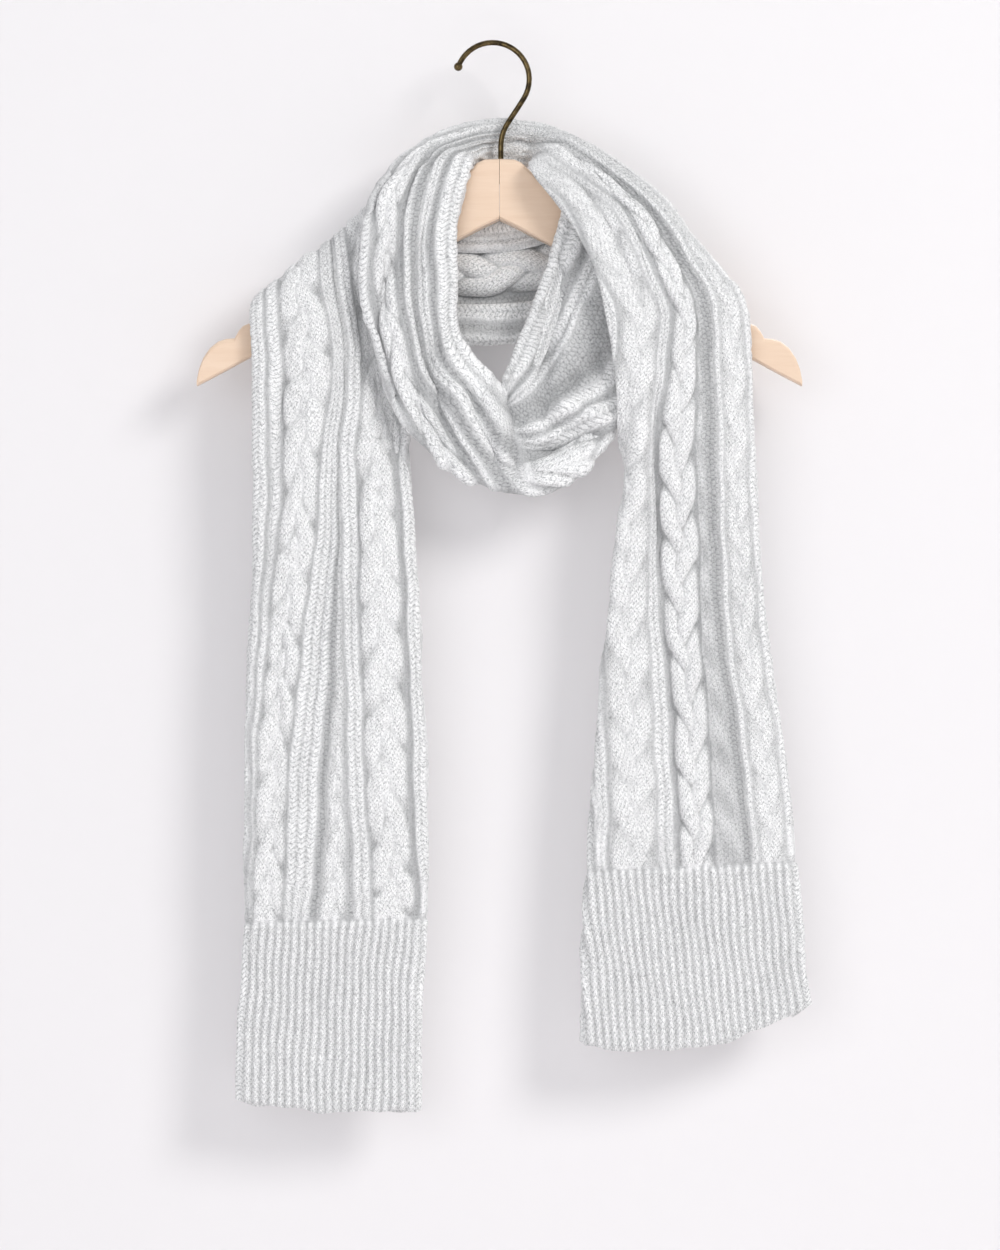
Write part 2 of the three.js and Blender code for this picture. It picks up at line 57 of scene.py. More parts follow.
# The scarf's run from the left hem, over the hanger's neck, to the right hem, in millimetres.
# A row is the outer edge (x, y, z), the neck-side fold (x, y, z), and what differs from the
# stretch's own values: curlA and curlB are the widths turned back, turnB the angle of the neck
# side's turn, crown the bulge of the face and sag how far the middle hangs below the edges. A pleat
# is (share, depth, half width).
scarfRun = {
    "left_hem": {
        "curlA": 36, "curlB": 34, "turnB": 180, "crown": 1,
        "pleats": [],
        "rows": [
            (-189, -19, -775, -60, -19, -781, {"sag": 3}),
            (-189, -19, -729, -60, -19, -732),
            (-187, -19, -685, -59, -19, -686),
        ],
    },
    "left_tail": {
        "curlA": 36, "curlB": 34, "turnB": 180, "crown": 1.5,
        "pleats": [(0.16, -2, 7), (0.8, 2.5, 12)],
        "rows": [
            (-184, -20, -643, -55, -20, -640),
            (-184, -20, -590, -54, -20, -588),
            (-184, -20, -530, -55, -20, -530),
            (-182, -20, -460, -58, -20, -458),
            (-179, -21, -397, -62, -21, -394),
            (-178, -21, -350, -65, -21, -346),
            (-178, -22, -310, -66, -21, -307),
        ],
    },
    "left_shoulder": {
        "curlA": 20, "curlB": 20, "turnB": 180, "crown": 1,
        "pleats": [],
        "rows": [
            (-178, -23, -273, -67, -20, -268, {"curlA": 30, "curlB": 30}),
            (-179, -24, -240, -68, -20, -222),
            (-180, -24, -211, -69, -20, -178, {"curlA": 14}),
            (-179, -18, -191, -70, -18, -136, {"curlA": 8}),
            (-174, -3, -184, -71, -8, -107, {"curlA": 6}),
            (-166, 12, -190, -69, 6, -99, {"curlA": 8}),
            (-146, 20, -204, -64, 16, -104),
            (-114, 22, -214, -56, 20, -114),
        ],
    },
    "back_pass": {
        "curlA": 24, "curlB": 24, "turnB": 180, "crown": 1,
        "pleats": [(0.12, 5, 5), (0.35, 7, 6), (0.23, -3, 8), (0.58, -4, 15), (0.84, 4, 6)],
        "rows": [
            (-77, 22, -217, -43, 20, -122),
            (-43, 22, -216, -27, 20, -124),
            (-11, 22, -216, -6, 20, -124),
            (21, 22, -214, 18, 20, -121),
            (56, 21, -208, 40, 19, -113),
        ],
    },
    "inner_right": {
        "curlA": 20, "curlB": 18, "turnB": 180, "crown": 3,
        "pleats": [(0.7, -7, 12), (0.28, -3, 10)],
        "rows": [
            (92, 20, -192, 51, 17, -102),
            (114, 18, -166, 57, 10, -93),
            (126, 2, -148, 58, -4, -91),
            (130, -15, -158, 53, -18, -107),
            (127, -21, -185, 44, -21, -139),
            (117, -22, -220, 32, -22, -174),
            (104, -23, -252, 22, -23, -203),
            (88, -25, -277, 14, -25, -222),
            (72, -27, -297, 9, -26, -235),
            (51, -28, -319, 5, -27, -245),
        ],
    },
    "left_loop": {
        "curlA": 22, "curlB": 22, "turnB": 180, "crown": 5,
        "pleats": [(0.3, -3, 9), (0.68, -3, 9)],
        "rows": [
            (25, -30, -330, 3, -28, -251),
            (0, -31, -327, -2, -28, -250),
            (-24, -32, -318, -8, -28, -243),
            (-46, -34, -303, -16, -27, -235),
            (-68, -35, -280, -24, -27, -224),
            (-81, -35, -256, -30, -26, -213),
            (-90, -36, -225, -32, -26, -195),
            (-98, -37, -196, -32, -26, -174),
            (-100, -37, -167, -33, -26, -154),
            (-98, -36, -139, -32, -25, -132),
            (-95, -33, -118, -28, -23, -113),
            (-87, -27, -101, -24, -21, -98),
        ],
    },
    "top_pass": {
        "curlA": 12, "curlB": 24, "turnB": 180, "crown": 3,
        "pleats": [],
        "rows": [
            (-73, -16, -85, -21, -15, -85, {"turnB": 150}),
            (-51, -5, -69, -19, -3, -83, {"turnB": 150, "curlB": 10}),
            (-25, 7, -57, -10, 10, -77, {"turnB": 70, "curlB": 9}),
            (1, 12, -53, 0, 14, -75, {"turnB": 10, "curlB": 16}),
            (16, 12, -55, 14, 14, -71, {"turnB": 8, "curlB": 17}),
            (28, 10, -57, 24, 12, -71, {"turnB": 8, "curlB": 11}),
            (41, 6, -61, 32, 4, -73, {"turnB": 6, "curlB": 7}),
            (56, 0, -68, 42, -10, -77, {"turnB": 4, "curlB": 22}),
        ],
    },
    "right_shoulder": {
        "curlA": 14, "curlB": 32, "turnB": 8, "crown": 4,
        "pleats": [(0.45, -3, 10)],
        "rows": [
            (73, -8, -78, 54, -18, -87, {"turnB": 2, "curlB": 27}),
            (103, -18, -100, 73, -26, -105, {"turnB": 2, "curlB": 32}),
            (123, -26, -119, 85, -33, -121, {"turnB": 4, "curlB": 34}),
            (139, -30, -142, 95, -38, -141, {"curlB": 32}),
            (158, -30, -164, 103, -40, -167, {"turnB": 8, "curlB": 27}),
            (178, -27, -192, 108, -41, -197, {"turnB": 8, "curlB": 25}),
            (183, -25, -234, 109, -41, -234, {"turnB": 14, "curlB": 20}),
            (184, -23, -276, 105, -39, -276, {"turnB": 40, "curlB": 14}),
        ],
    },
    "right_tail": {
        "curlA": 8, "curlB": 30, "turnB": 180, "crown": 2,
        "pleats": [(0.62, -3, 11), (0.42, -2, 9)],
        "rows": [
            (186, -22, -320, 97, -34, -316, {"turnB": 100, "curlB": 20}),
            (188, -21, -364, 88, -28, -364, {"turnB": 140}),
            (192, -20, -408, 83, -23, -408, {"turnB": 170}),
            (197, -20, -455, 76, -21, -455),
            (205, -20, -508, 73, -20, -506),
            (212, -20, -561, 68, -20, -565),
        ],
    },
    "right_hem": {
        "curlA": 8, "curlB": 30, "turnB": 180, "crown": 1,
        "pleats": [],
        "rows": [
            (214, -20, -599, 65, -20, -606),
            (220, -20, -655, 63, -20, -670, {"sag": 6}),
            (225, -20, -706, 62, -20, -733, {"sag": 15}),
        ],
    },
}

clothValues = {
    "wall": 4.2,  # thickness
    "rollRadius": 3.2,  # of the rolled long edges
    "acrossCell": 1.08,  # grid size on the parts that show
    "hiddenCell": 2.3,  # and on the parts turned behind
    "alongCell": 1.62,
    "ribPitch": 5.9,  # one knit and one purl column of the hems
    "rowPitch": 3.7,
    "stitchWidth": 2.95,
    "cablePitch": 42.0,  # from one crossing to the next
    "cableHeight": 4.8,
    "ribHeight": 1.1,
    "purlDepth": -0.85,
    "waver": 0.9,  # slow unevenness of the cloth
    "woolliness": 0.27,  # unevenness from stitch to stitch
    "grainSeed": 11,
    "wrongSide": 0.4,  # share of the relief that the inner face has too
    "backFromNeck": 1.0,  # the same behind the neck, where the inner face shows
    "flatterRows": (46.5, 55),  # stretched over the hanger's neck, the relief is half as high
    "pleatFade": 0.3,  # how pleats die out towards the long edges, and over a stretch's ends
    "pleatEnds": 0.3,
    "edgeRound": 2.4,  # how far in from a free edge the wall is full
    "hemCoarser": 1.25,  # cells along the hems, against those of the rest
    "rippleLength": 22,  # how far up the hems' ends ripple
    "hemLineDepth": 0.8,  # the line where a hem joins its tail
    "hemLineHalf": 2.2,
    "shadeMiddle": 0.42,  # painted shade of cloth at its middle height, and the depth that makes it full
    "shadeDepth": 1.7,
    "foldShade": 0.6,  # the most painted shade that a fold adds, and the depth at which it does
    "foldShadeDepth": 12,
}

# Columns of the knitting, from the outer edge to the neck side. Each station is (row, the places
# where the columns end), in millimetres from the outer edge, or in shares of the width where shares
# is true. Cuts are the share of the columns that the fold hides, leans how far the stitches lean.
knitLayouts = {
    "leftHem": {"kinds": ["hem"], "stations": [(0, [])]},
    "leftSide": {
        "kinds": ["rib2", "purl", "rib1", "cableLoose", "rib3", "dots", "cableFine", "purl", "rib2",
                  "cableLoose", "dots", "rib2"],
        "stations": [
            (0.28, [-9, 0, 1, 3, 27, 46, 52, 72, 77, 90, 122, 125, 134]),
            (1.6, [-7, 1.5, 3, 5, 29, 52, 59, 72, 75, 87, 119, 122, 131]),
            (3.1, [-4, 3, 4.5, 10, 36, 57, 62, 67, 69, 80, 113, 116, 125]),
            (4.36, [-3, 6, 7.5, 15, 43, 59, 61, 62, 63, 75, 105, 108, 117]),
            (6.13, [-2, 8, 10, 20, 48, 60, 61, 61.5, 62, 73, 102, 105, 114]),
            (8, [-2, 8, 10, 20, 58, 66, 67, 68, 69, 78, 106, 109, 118]),
            (10, [-2, 8, 10, 20, 54, 63, 65, 66, 67, 77, 108, 111, 120]),
        ],
    },
    "behindNeck": {
        "kinds": ["rib2", "purl", "rib2", "purl", "rib2", "purl", "dots", "purl", "cable", "purl",
                  "rib2", "purl", "rib2"],
        "shares": True,
        "stations": [
            (0, [-0.35, -0.19, -0.1, 0.0, 0.02, 0.1, 0.13, 0.3, 0.36, 0.74, 0.79, 0.9, 0.96, 1.2]),
        ],
    },
    "innerRight": {
        "kinds": ["rib2", "purl", "cable", "purl", "rib2", "purl", "rib1", "dots", "rib2", "dots",
                  "rib2"],
        "shares": True,
        "stations": [(0, [-0.05, 0.07, 0.09, 0.36, 0.4, 0.52, 0.55, 0.63, 0.8, 0.88, 0.91, 1.04])],
        "cuts": [(3, 0.55), (6.5, 0.45), (8.5, 0.22), (10, 0)],
    },
    "leftLoop": {
        "kinds": ["rib1", "purl", "cable", "dots", "rib1", "dots", "rib2", "dots", "rib2"],
        "shares": True,
        "stations": [(0, [-0.04, 0.06, 0.1, 0.37, 0.43, 0.49, 0.59, 0.7, 0.78, 1.03])],
        "cuts": [(0, 0.62), (1, 0.5), (2, 0.3), (3, 0.14), (4, 0.05), (5, 0)],
        "leans": [(0, 0.9), (2, 0.7), (3.5, 0.25), (5, 0)],
    },
    "rightSide": {
        "kinds": ["rib2", "cableSoft", "rib1", "dots", "plain", "cable", "purl", "rib2",
                  "cableSoft", "purl", "rib2"],
        "stations": [
            (-4, [-6, 2, 9, 12, 15, 15, 26, 27.5, 32, 50, 51.5, 58]),
            (0, [-6, 2, 10, 13, 17, 17, 31, 33, 38, 58, 60, 68]),
            (3, [-6, 2, 10, 14, 22, 22, 39, 41, 48, 80, 82, 92]),
            (6, [-6, 4, 25, 29, 39, 42, 63, 65, 72, 100, 102, 110]),
            (7.5, [-6, 4, 22, 26, 38, 43, 71, 73.5, 78, 110, 112, 120]),
            (9.2, [-6, 4, 24, 28, 37, 43, 72.5, 75, 80, 111, 113, 121]),
            (11.35, [-6, 4, 25, 30, 38, 49, 75.5, 78, 89, 122, 124, 132]),
            (13.3, [-6, 4, 25.3, 30, 37, 56.6, 83.5, 86, 99, 133, 135, 143]),
        ],
    },
    "rightHem": {"kinds": ["hem"], "stations": [(0, [])]},
}

# Which rows carry which knitting: the layout, its first and last row, the row its stations count
# from, and how softly it takes over from the one before, in millimetres along the scarf.
zones = [
    ("leftHem", 0, 3, 0, 1.5),
    ("leftSide", 3, 18, 3, 1.6),
    ("behindNeck", 18, 23, 18, 14),
    ("innerRight", 23, 33, 23, 14),
    ("leftLoop", 33, 48.5, 33, 5),
    ("rightSide", 48.5, 67, 53, 14),
    ("rightHem", 67, 69, 67, 1.6),
]

# Folds pressed in on the front of the cloth, for the rows given: the line (x, z) that each
# follows, how deep it goes (a ridge is positive) and its half width.
# a fold pressed in also paints shade into the cloth's colour, the more the deeper it goes
folds = {
    "leftTail": {"rows": (2, 15), "lines": [
        # beside the loop's left edge, deep enough that its painted fold shade darkens the cloth
        # there
        ([(-100, -150), (-99, -190), (-96, -225), (-88, -258), (-76, -292), (-62, -318)], -7.5, 11),
        ([(-150, -215), (-158, -260), (-164, -310), (-168, -380), (-174, -440)], -2.8, 4.5),
        ([(-126, -190), (-134, -240), (-138, -300)], 2.2, 6),
        ([(-120, -290), (-124, -380), (-134, -460), (-146, -560)], -1.6, 5),
        ([(-98, -290), (-101, -330), (-107, -400), (-110, -450)], -1.8, 5),
        ([(-166, -560), (-158, -600), (-160, -640)], -1.2, 8),
    ]},
    "loop": {"rows": (25, 48), "lines": [
        ([(-96, -135), (-90, -110), (-76, -90)], -5.1, 5.4),
        ([(-72, -130), (-60, -92), (-43, -80)], -4.2, 5.4),
        ([(-70, -140), (-81, -172), (-88, -212), (-80, -251), (-72, -272)], -5.4, 6.0),
        ([(-52, -120), (-58, -160), (-60, -205), (-50, -250), (-38, -285)], -4.2, 5.4),
        ([(-45, -210), (-48, -235), (-42, -275), (-21, -318)], -4.8, 6.0),
        ([(-68, -235), (-54, -275), (-36, -305)], -4.2, 5.4),
        ([(-24, -253), (-18, -275), (-5, -299), (6, -327)], -5.8, 5.4),
        ([(2, -253), (8, -270), (10, -304), (15, -327)], -6.4, 5.4),
        ([(-36, -240), (-28, -262), (-14, -285), (-8, -310)], 4.8, 7.2),
        ([(-8, -250), (-4, -268), (3, -290), (6, -312)], 4.2, 6.0),
        ([(46, -150), (40, -180), (36, -215), (33, -258)], -11.2, 9.0),
        ([(69, -186), (54, -212), (42, -243), (33, -258)], 6.4, 7.2),
        ([(36, -262), (58, -270), (82, -276)], 8.8, 7.2),
        ([(78, -286), (60, -290), (42, -299), (20, -297)], -8.8, 6.0),
        ([(22, -268), (40, -280), (62, -284)], -3.5, 4.8),
        ([(62, -238), (42, -260), (22, -266)], -5.8, 6.0),
        ([(84, -222), (66, -240), (48, -256)], -4.8, 6.0),
        ([(78, -240), (62, -252), (50, -262)], 3.8, 4.8),
        ([(18, -325), (44, -316), (62, -300)], 4.8, 8.4),
        ([(12, -262), (17, -285), (24, -310), (28, -330)], -4.2, 6.0),
    ]},
    "rightSide": {"rows": (50, 66), "lines": [
        ([(46, -92), (68, -116), (82, -140), (94, -167), (102, -190)], -3.6, 4.5),
        ([(58, -80), (88, -104), (108, -126), (126, -156), (138, -186)], -3.0, 4.5),
        ([(30, -98), (50, -130), (66, -165)], -1.8, 4),
        ([(138, -186), (145, -215), (148, -248)], -2.0, 5),
        ([(115, -240), (112, -290), (115, -345), (119, -395)], -3.4, 4.5),
        ([(104, -250), (102, -310), (98, -360)], 2.0, 5),
        ([(128, -300), (126, -380), (132, -470)], 1.8, 9),
        ([(186, -350), (176, -400), (170, -470), (172, -540)], -1.4, 9),
        ([(206, -460), (190, -485), (176, -492)], -1.0, 6),
    ]},
}


# Slow waves, because knitting is never quite even. A wave is (height, length along, length across,
# start), and an endless wave doesn't change in that direction.
endless = math.inf
clothWaves = {
    "waver": [(0.4, 23, 31, 0), (0.28, 13.7, -19, 1.3), (0.2, 41, 9.5, 2.1)],
    "sway": [(0.7, 19, 43, 0), (0.45, 8.3, 12, 0)],
    "hemRipple": [(1.0, endless, 13, 0), (0.7, endless, 6.1, 1), (0.5, endless, 3.7, 2)],
    "crossings": [(1.6, 29, endless, 1), (1.1, 17, 30, 0), (0.6, 7.7, 5, 0)],
    "strandWidth": [(1.0, 21, endless, 2)],
    "plainSwell": [(0.4, 6.1, 4.3, 0)],
    "eyeletRows": [(0.5, 9.1, 7, 0), (0.7, 37, endless, 0)],
    "dimpleBend": [(1.0, 31, endless, 0)],
    "dimplesAcross": [(1.0, -10.3, 3.7, 0)],
}


def wavesAt(name, w, path):
    total = 0
    for height, lengthAlong, lengthAcross, start in clothWaves[name]:
        total = total + height * np.sin(path / lengthAlong + w / lengthAcross + start)
    return total


def smoothStep(x):
    x = np.clip(x, 0, 1)
    return x * x * (3 - 2 * x)


# The run's values, smooth from row to row
rowKeys = ["curlA", "curlB", "turnB", "crown", "sag"]
rowList, firstRow = [], {}
for name, run in scarfRun.items():
    firstRow[name] = len(rowList)
    for row in run["rows"]:
        own = {"sag": 0, **run, **(row[6] if len(row) > 6 else {})}
        rowList.append(list(row[:6]) + [own[key] for key in rowKeys])
rowValues = np.array(rowList, float)
stretchNames = list(scarfRun)
lastRow = {n: firstRow[stretchNames[i + 1]] if i + 1 < len(stretchNames) else len(rowList) - 1
           for i, n in enumerate(stretchNames)}


def runAt(r):
    # the values at rows r, on a smooth curve through the rows
    k = np.clip(np.floor(r).astype(int), 0, len(rowValues) - 2)
    t = (r - k)[:, None]
    a, b, c, d = (rowValues[np.clip(k + i, 0, len(rowValues) - 1)] for i in (-1, 0, 1, 2))
    t2, t3 = t * t, t * t * t
    return ((2 * t3 - 3 * t2 + 1) * b + (t3 - 2 * t2 + t) * (c - a) / 2
            + (3 * t2 - 2 * t3) * c + (t3 - t2) * (d - b) / 2)


denseRows = np.linspace(0, len(rowValues) - 1, 8000)
denseValues = runAt(denseRows)
denseMiddle = (denseValues[:, :3] + denseValues[:, 3:6]) / 2
densePath = np.concatenate([[0], np.cumsum(np.linalg.norm(np.diff(denseMiddle, axis=0), axis=1))])
print(f"scarf run: {densePath[-1]:.0f} mm along its middle")


def unit(v):
    return v / np.maximum(np.linalg.norm(v, axis=-1, keepdims=True), 1e-9)


def pathAt(r):
    return np.interp(r, denseRows, densePath)


def clothSurface(r, zone, share, pleats, strength):
    # the middle of the cloth at rows r (one per line) and columns (zone, share), and each point's
    # place across the cloth
    values = runAt(r)
    a, b = values[:, None, :3], values[:, None, 3:6]
    curlA, curlB, turnB, crown, sag = (values[:, i, None] for i in range(6, 11))
    turnB = np.radians(np.clip(turnB, 1, 180))
    across = unit(b - a)
    width = np.linalg.norm(b - a, axis=-1)
    nearRows = 0.25
    ahead = runAt(np.minimum(r + nearRows, len(rowValues) - 1))
    behind = runAt(np.maximum(r - nearRows, 0))
    along = ((ahead - behind)[:, :3] + (ahead - behind)[:, 3:6])[:, None, :]
    along = unit(along - across * (along * across).sum(-1, keepdims=True))
    out = np.cross(across, along)
    radius = clothValues["rollRadius"]
    turnLength = math.pi * radius
    share = share[None, :]
    face = width - 2 * radius
    hump = crown * (1 - (2 * share - 1) ** 2)
    for at, depth, half in pleats:
        pleat = depth * np.exp(-(((share - at) * face / half) ** 2))
        hump = hump + strength * pleat * np.sin(np.pi * share) ** clothValues["pleatFade"]
    # each zone's own line: the edge's flap and roll, the face, the neck side's roll and flap
    turnA = -np.pi / 2 - share * np.pi
    radiusB = turnLength / turnB
    turn = np.pi / 2 - share * turnB
    endX = width - radius + radiusB * np.cos(np.pi / 2 - turnB)
    endY = -radiusB + radiusB * np.sin(np.pi / 2 - turnB)
    zero = np.zeros_like(width)
    xs = [radius + curlA * (1 - share), radius * (1 + np.cos(turnA)) + zero, radius + share * face,
          width - radius + radiusB * np.cos(turn), endX + np.cos(turnB) * curlB * share]
    ys = [-2 * radius + zero * share, radius * (np.sin(turnA) - 1) + zero, hump + zero,
          -radiusB + radiusB * np.sin(turn), endY - np.sin(turnB) * curlB * share]
    ws = [radius - turnLength - (1 - share) * curlA, radius - (1 - share) * turnLength + zero,
          radius + share * face, width - radius + share * turnLength,
          width - radius + turnLength + share * curlB]
    x, y, w = (np.choose(zone[None, :] + np.zeros_like(v[0], int), v) for v in (xs, ys, ws))
    point = a + across * x[..., None] + out * y[..., None]
    point[..., 2] -= sag * np.sin(np.pi * np.clip(x / width, 0, 1))
    return point, w, width, curlA, curlB


def stepsOver(length, cell, least=3):
    return max(least, int(round(length / cell)))


def columnsFor(name):
    # the grid's columns: the zone that each lies in, and its share of that zone
    values = runAt(np.linspace(firstRow[name], lastRow[name], 40))
    width = np.linalg.norm(values[:, 3:6] - values[:, :3], axis=1).max()
    curlA, curlB = values[:, 6].max(), values[:, 7].max()
    neckOpen = values[:, 8].min() < 60  # the neck side's turn lies open here, so its cloth shows
    fine, hidden = clothValues["acrossCell"], clothValues["hiddenCell"]
    counts = [stepsOver(curlA, hidden), 8, stepsOver(width, fine), 10 if neckOpen else 8,
              stepsOver(curlB, fine if neckOpen else hidden)]
    zone = np.concatenate([np.full(c, i) for i, c in enumerate(counts)] + [[4]])
    share = np.concatenate([np.arange(c) / c for c in counts] + [[1.0]])
    share[1] *= 0.5  # a closer column beside each free edge
    share[-2] = 1 - (1 - share[-2]) * 0.5
    return zone, share


# How the columns of the knitting stand out from the cloth, in millimetres unless it says otherwise.
columnShapes = {
    "ribRoundness": 0.8,  # less is squarer
    "ribSink": 0.35,  # share of a rib's height that lies below the middle of the cloth
    "ribLeast": 3.2,  # a narrower rib stands lower
    "hemRise": 1.05,  # share of the ribs' height on the hems
    "hemLift": 0.5,
    "purlSides": 0.5,  # depth of a purl column at its sides, in shares of its middle
    "eyeletSides": 0.6,
    "eyeletDepth": 1.2,
    "eyeletHalf": 1.7,
    "eyeletBand": 4,
    "plainSink": 0.35,
    "plainPurl": 0.35,  # how much a plain band shows the wrong side of its stitches
    "settleLength": 32,  # the columns run straight on from hem to hem, then settle into their bands
}

# A cable is three strands plaited: each swings from side to side, and lies on top as it comes back
# to the middle.
plaitValues = {
    "strands": 3,
    "swing": 0.25,  # how far a strand swings and half its width, in shares of the cable's width
    "strandUneven": 0.07,
    "start": 0.2,
    "rightStart": 0.9,
    "dome": 0.58,  # shares of the cable's height
    "lift": 0.27,
    "liftReach": 1.3,
    "sink": 0.5,
    "groove": 1.6,  # depth between two strands
    "tightGroove": 2.2,
    "grooveSoftness": 0.7,
    "sideWidth": 3.5,
    "sideDepth": 1.2,
    "fullWidth": 22,  # a narrower cable stands lower
    "mostStrength": 1.15,
    "dimple": 0.7,
    "dimpleLength": 3.9,
    "dimpleAcross": 5,
    "looseness": {"cableLoose": 2.2, "cableSoft": 1.8},
    "strength": {"cableFine": 0.5, "cableSoft": 0.32, "cableLoose": 0.6},
}


def strandDome(away):
    # height of one strand's round back, where away is 1 at its edge
    return np.where(away < 1, 1 - 0.8 * away ** 2.2, 0.2 - 0.5 * (away - 1))


def plaitHeight(kind, v, band, w, path, layoutName, settled):
    plait = plaitValues
    straight = w / clothValues["stitchWidth"]
    x = (v - 0.5) * band
    loose = plait["looseness"].get(kind, 1)
    uneven = loose * wavesAt("crossings", w, path)
    reach = band * plait["swing"]
    strand = reach * (1 + plait["strandUneven"] * loose * wavesAt("strandWidth", w, path))
    shape = np.broadcast(v, path).shape
    best, second = np.full(shape, -9.0), np.full(shape, -9.0)
    column = straight + np.zeros(shape)
    start = plait["rightStart"] if layoutName == "rightSide" else plait["start"]
    for k in range(plait["strands"]):
        turns = (path + uneven) / (plait["strands"] * clothValues["cablePitch"])
        swing = 2 * np.pi * (turns + k / plait["strands"]) + start
        centre = reach * np.sin(swing)
        away = np.abs(x - centre) / strand
        lift = -np.sin(2 * swing) * np.clip(plait["liftReach"] - away, 0, 1)
        high = plait["dome"] * strandDome(away) + plait["lift"] * lift
        high = clothValues["cableHeight"] * high
        ownColumn = straight - settled * centre / clothValues["stitchWidth"]
        column = np.where(high > best, ownColumn, column)
        second = np.maximum(second, np.minimum(best, high))
        best = np.maximum(best, high)
    between = np.exp(-(best - second) / plait["grooveSoftness"])
    sides = smoothStep(np.minimum(v, 1 - v) * band / plait["sideWidth"])
    strength = np.clip(band / plait["fullWidth"], 0, plait["mostStrength"])
    strength = strength * plait["strength"].get(kind, 1)
    if kind == "cableLoose":
        bend = wavesAt("dimpleBend", w, path)
        dimples = np.sin(path / plait["dimpleLength"] + w / plait["dimpleAcross"] + bend)
        best = best + plait["dimple"] * dimples * wavesAt("dimplesAcross", w, path)
    groove = plait["tightGroove" if kind == "cable" else "groove"]
    top = (best - groove * between - plait["sink"]) * sides
    return (top - plait["sideDepth"] * (1 - sides)) * strength, column, 0 * column


def knitHeight(kind, v, band, w, path, layoutName, settled):
    # height of the outer face above its middle, the stitch column, and 1 where the wrong side of
    # the stitches shows
    values, shapes = clothValues, columnShapes
    straight = w / values["stitchWidth"]
    bow = np.sin(np.pi * v)
    count = {"rib1": 1, "rib2": 2, "rib3": 3}.get(kind)
    if count:
        wave = np.abs(np.sin(np.pi * count * v))
        first = np.round(np.mean(w - band * v) / values["stitchWidth"])
        column = straight + settled * (first + count * v - straight)
        height = values["ribHeight"] * (wave ** shapes["ribRoundness"] - shapes["ribSink"])
        return height * np.clip(band / (shapes["ribLeast"] * count), 0, 1), column, 0 * v
    if kind == "purl":
        depth = shapes["purlSides"] + (1 - shapes["purlSides"]) * bow
        return values["purlDepth"] * depth + 0 * band, straight, 1 + 0 * v
    if kind == "plain":
        swell = wavesAt("plainSwell", w, path) * bow
        return swell - shapes["plainSink"] + 0 * band, straight, shapes["plainPurl"] + 0 * v
    if kind == "dots":
        fromMiddle = (v - 0.5) * np.maximum(band, shapes["eyeletBand"])
        hole = np.exp(-((fromMiddle / shapes["eyeletHalf"]) ** 2))
        rows = path + wavesAt("eyeletRows", w, path)
        holes = hole * (0.5 + 0.5 * np.cos(2 * np.pi * rows / values["rowPitch"]))
        depth = shapes["eyeletSides"] + (1 - shapes["eyeletSides"]) * bow
        return values["purlDepth"] * depth - shapes["eyeletDepth"] * holes, straight, 1 + 0 * v
    return plaitHeight(kind, v, band, w, path, layoutName, settled)


def layoutRelief(layoutName, rows, w, swayed, width, path, settled):
    # one layout's height, stitch columns, purl and place along the cloth; rows count from its start
    layout, shapes = knitLayouts[layoutName], columnShapes
    column, purl = swayed / clothValues["stitchWidth"], 0 * w
    ridge = np.cos(2 * np.pi * swayed / clothValues["ribPitch"])
    height = (clothValues["ribHeight"] * shapes["hemRise"] * np.sign(ridge)
              * np.abs(ridge) ** shapes["ribRoundness"] + shapes["hemLift"])
    if layout["kinds"] == ["hem"]:
        return height, column + 0.5, purl, path
    height = height * 0.8 - 0.3
    stations = layout["stations"]
    ends = [np.interp(rows, [s[0] for s in stations], [s[1][j] for s in stations])[:, None]
            for j in range(len(layout["kinds"]) + 1)]
    if layout.get("shares"):
        cut = np.interp(rows, *zip(*layout.get("cuts", [(0, 0)])))[:, None]
        ends = [(end - cut) / (1 - cut) * width for end in ends]
    lean = np.interp(rows, *zip(*layout.get("leans", [(0, 0)])))[:, None]
    lengthwise = path + lean * w
    for j, kind in enumerate(layout["kinds"]):
        band = np.maximum(ends[j + 1] - ends[j], 0.01)
        v = (swayed - ends[j]) / band
        inside = (v >= 0) & (v < 1)
        found = knitHeight(kind, np.clip(v, 0, 1), band, swayed, lengthwise, layoutName, settled)
        height, column, purl = (np.where(inside, new, old)
                                for new, old in zip(found, (height, column, purl)))
    return height, column, purl, lengthwise


def knitRelief(r, w, width, path):
    height, column, purl, total = (np.zeros(w.shape) for _ in range(4))
    along = path + 0
    swayed = w + wavesAt("sway", w, path)
    for index, (layoutName, first, last, base, soft) in enumerate(zones):
        start = -1e6 if index == 0 else pathAt(first)
        nextSoft = zones[index + 1][4] if index + 1 < len(zones) else 1
        end = 1e6 if index + 1 == len(zones) else pathAt(last)
        weight = (smoothStep((path - start + soft) / (2 * soft))
                  * smoothStep((end + nextSoft - path) / (2 * nextSoft)))
        if weight.max() <= 0:
            continue
        settled = smoothStep(np.minimum(path - start, end - path) / columnShapes["settleLength"])
        own, ownColumn, ownPurl, lengthwise = layoutRelief(
            layoutName, r - base, w, swayed, width, path, settled)
        height += weight * own
        total += weight
        column = np.where(weight > 0.5, ownColumn, column)
        along = np.where(weight > 0.5, lengthwise, along)
        purl = np.where(weight > 0.5, ownPurl, purl)
    seam = np.zeros(w.shape)  # above 0 where the columns of two neighbours don't run on
    acrossJump = np.abs(np.diff(column, axis=1)) > 1
    alongJump = 0.5 * (np.abs(np.diff(column, axis=0)) > 1)
    for side in (slice(1, None), slice(None, -1)):
        seam[:, side] = np.maximum(seam[:, side], acrossJump)
        seam[side] = np.maximum(seam[side], alongJump)
    return height / np.maximum(total, 1e-6), column, purl, seam, along


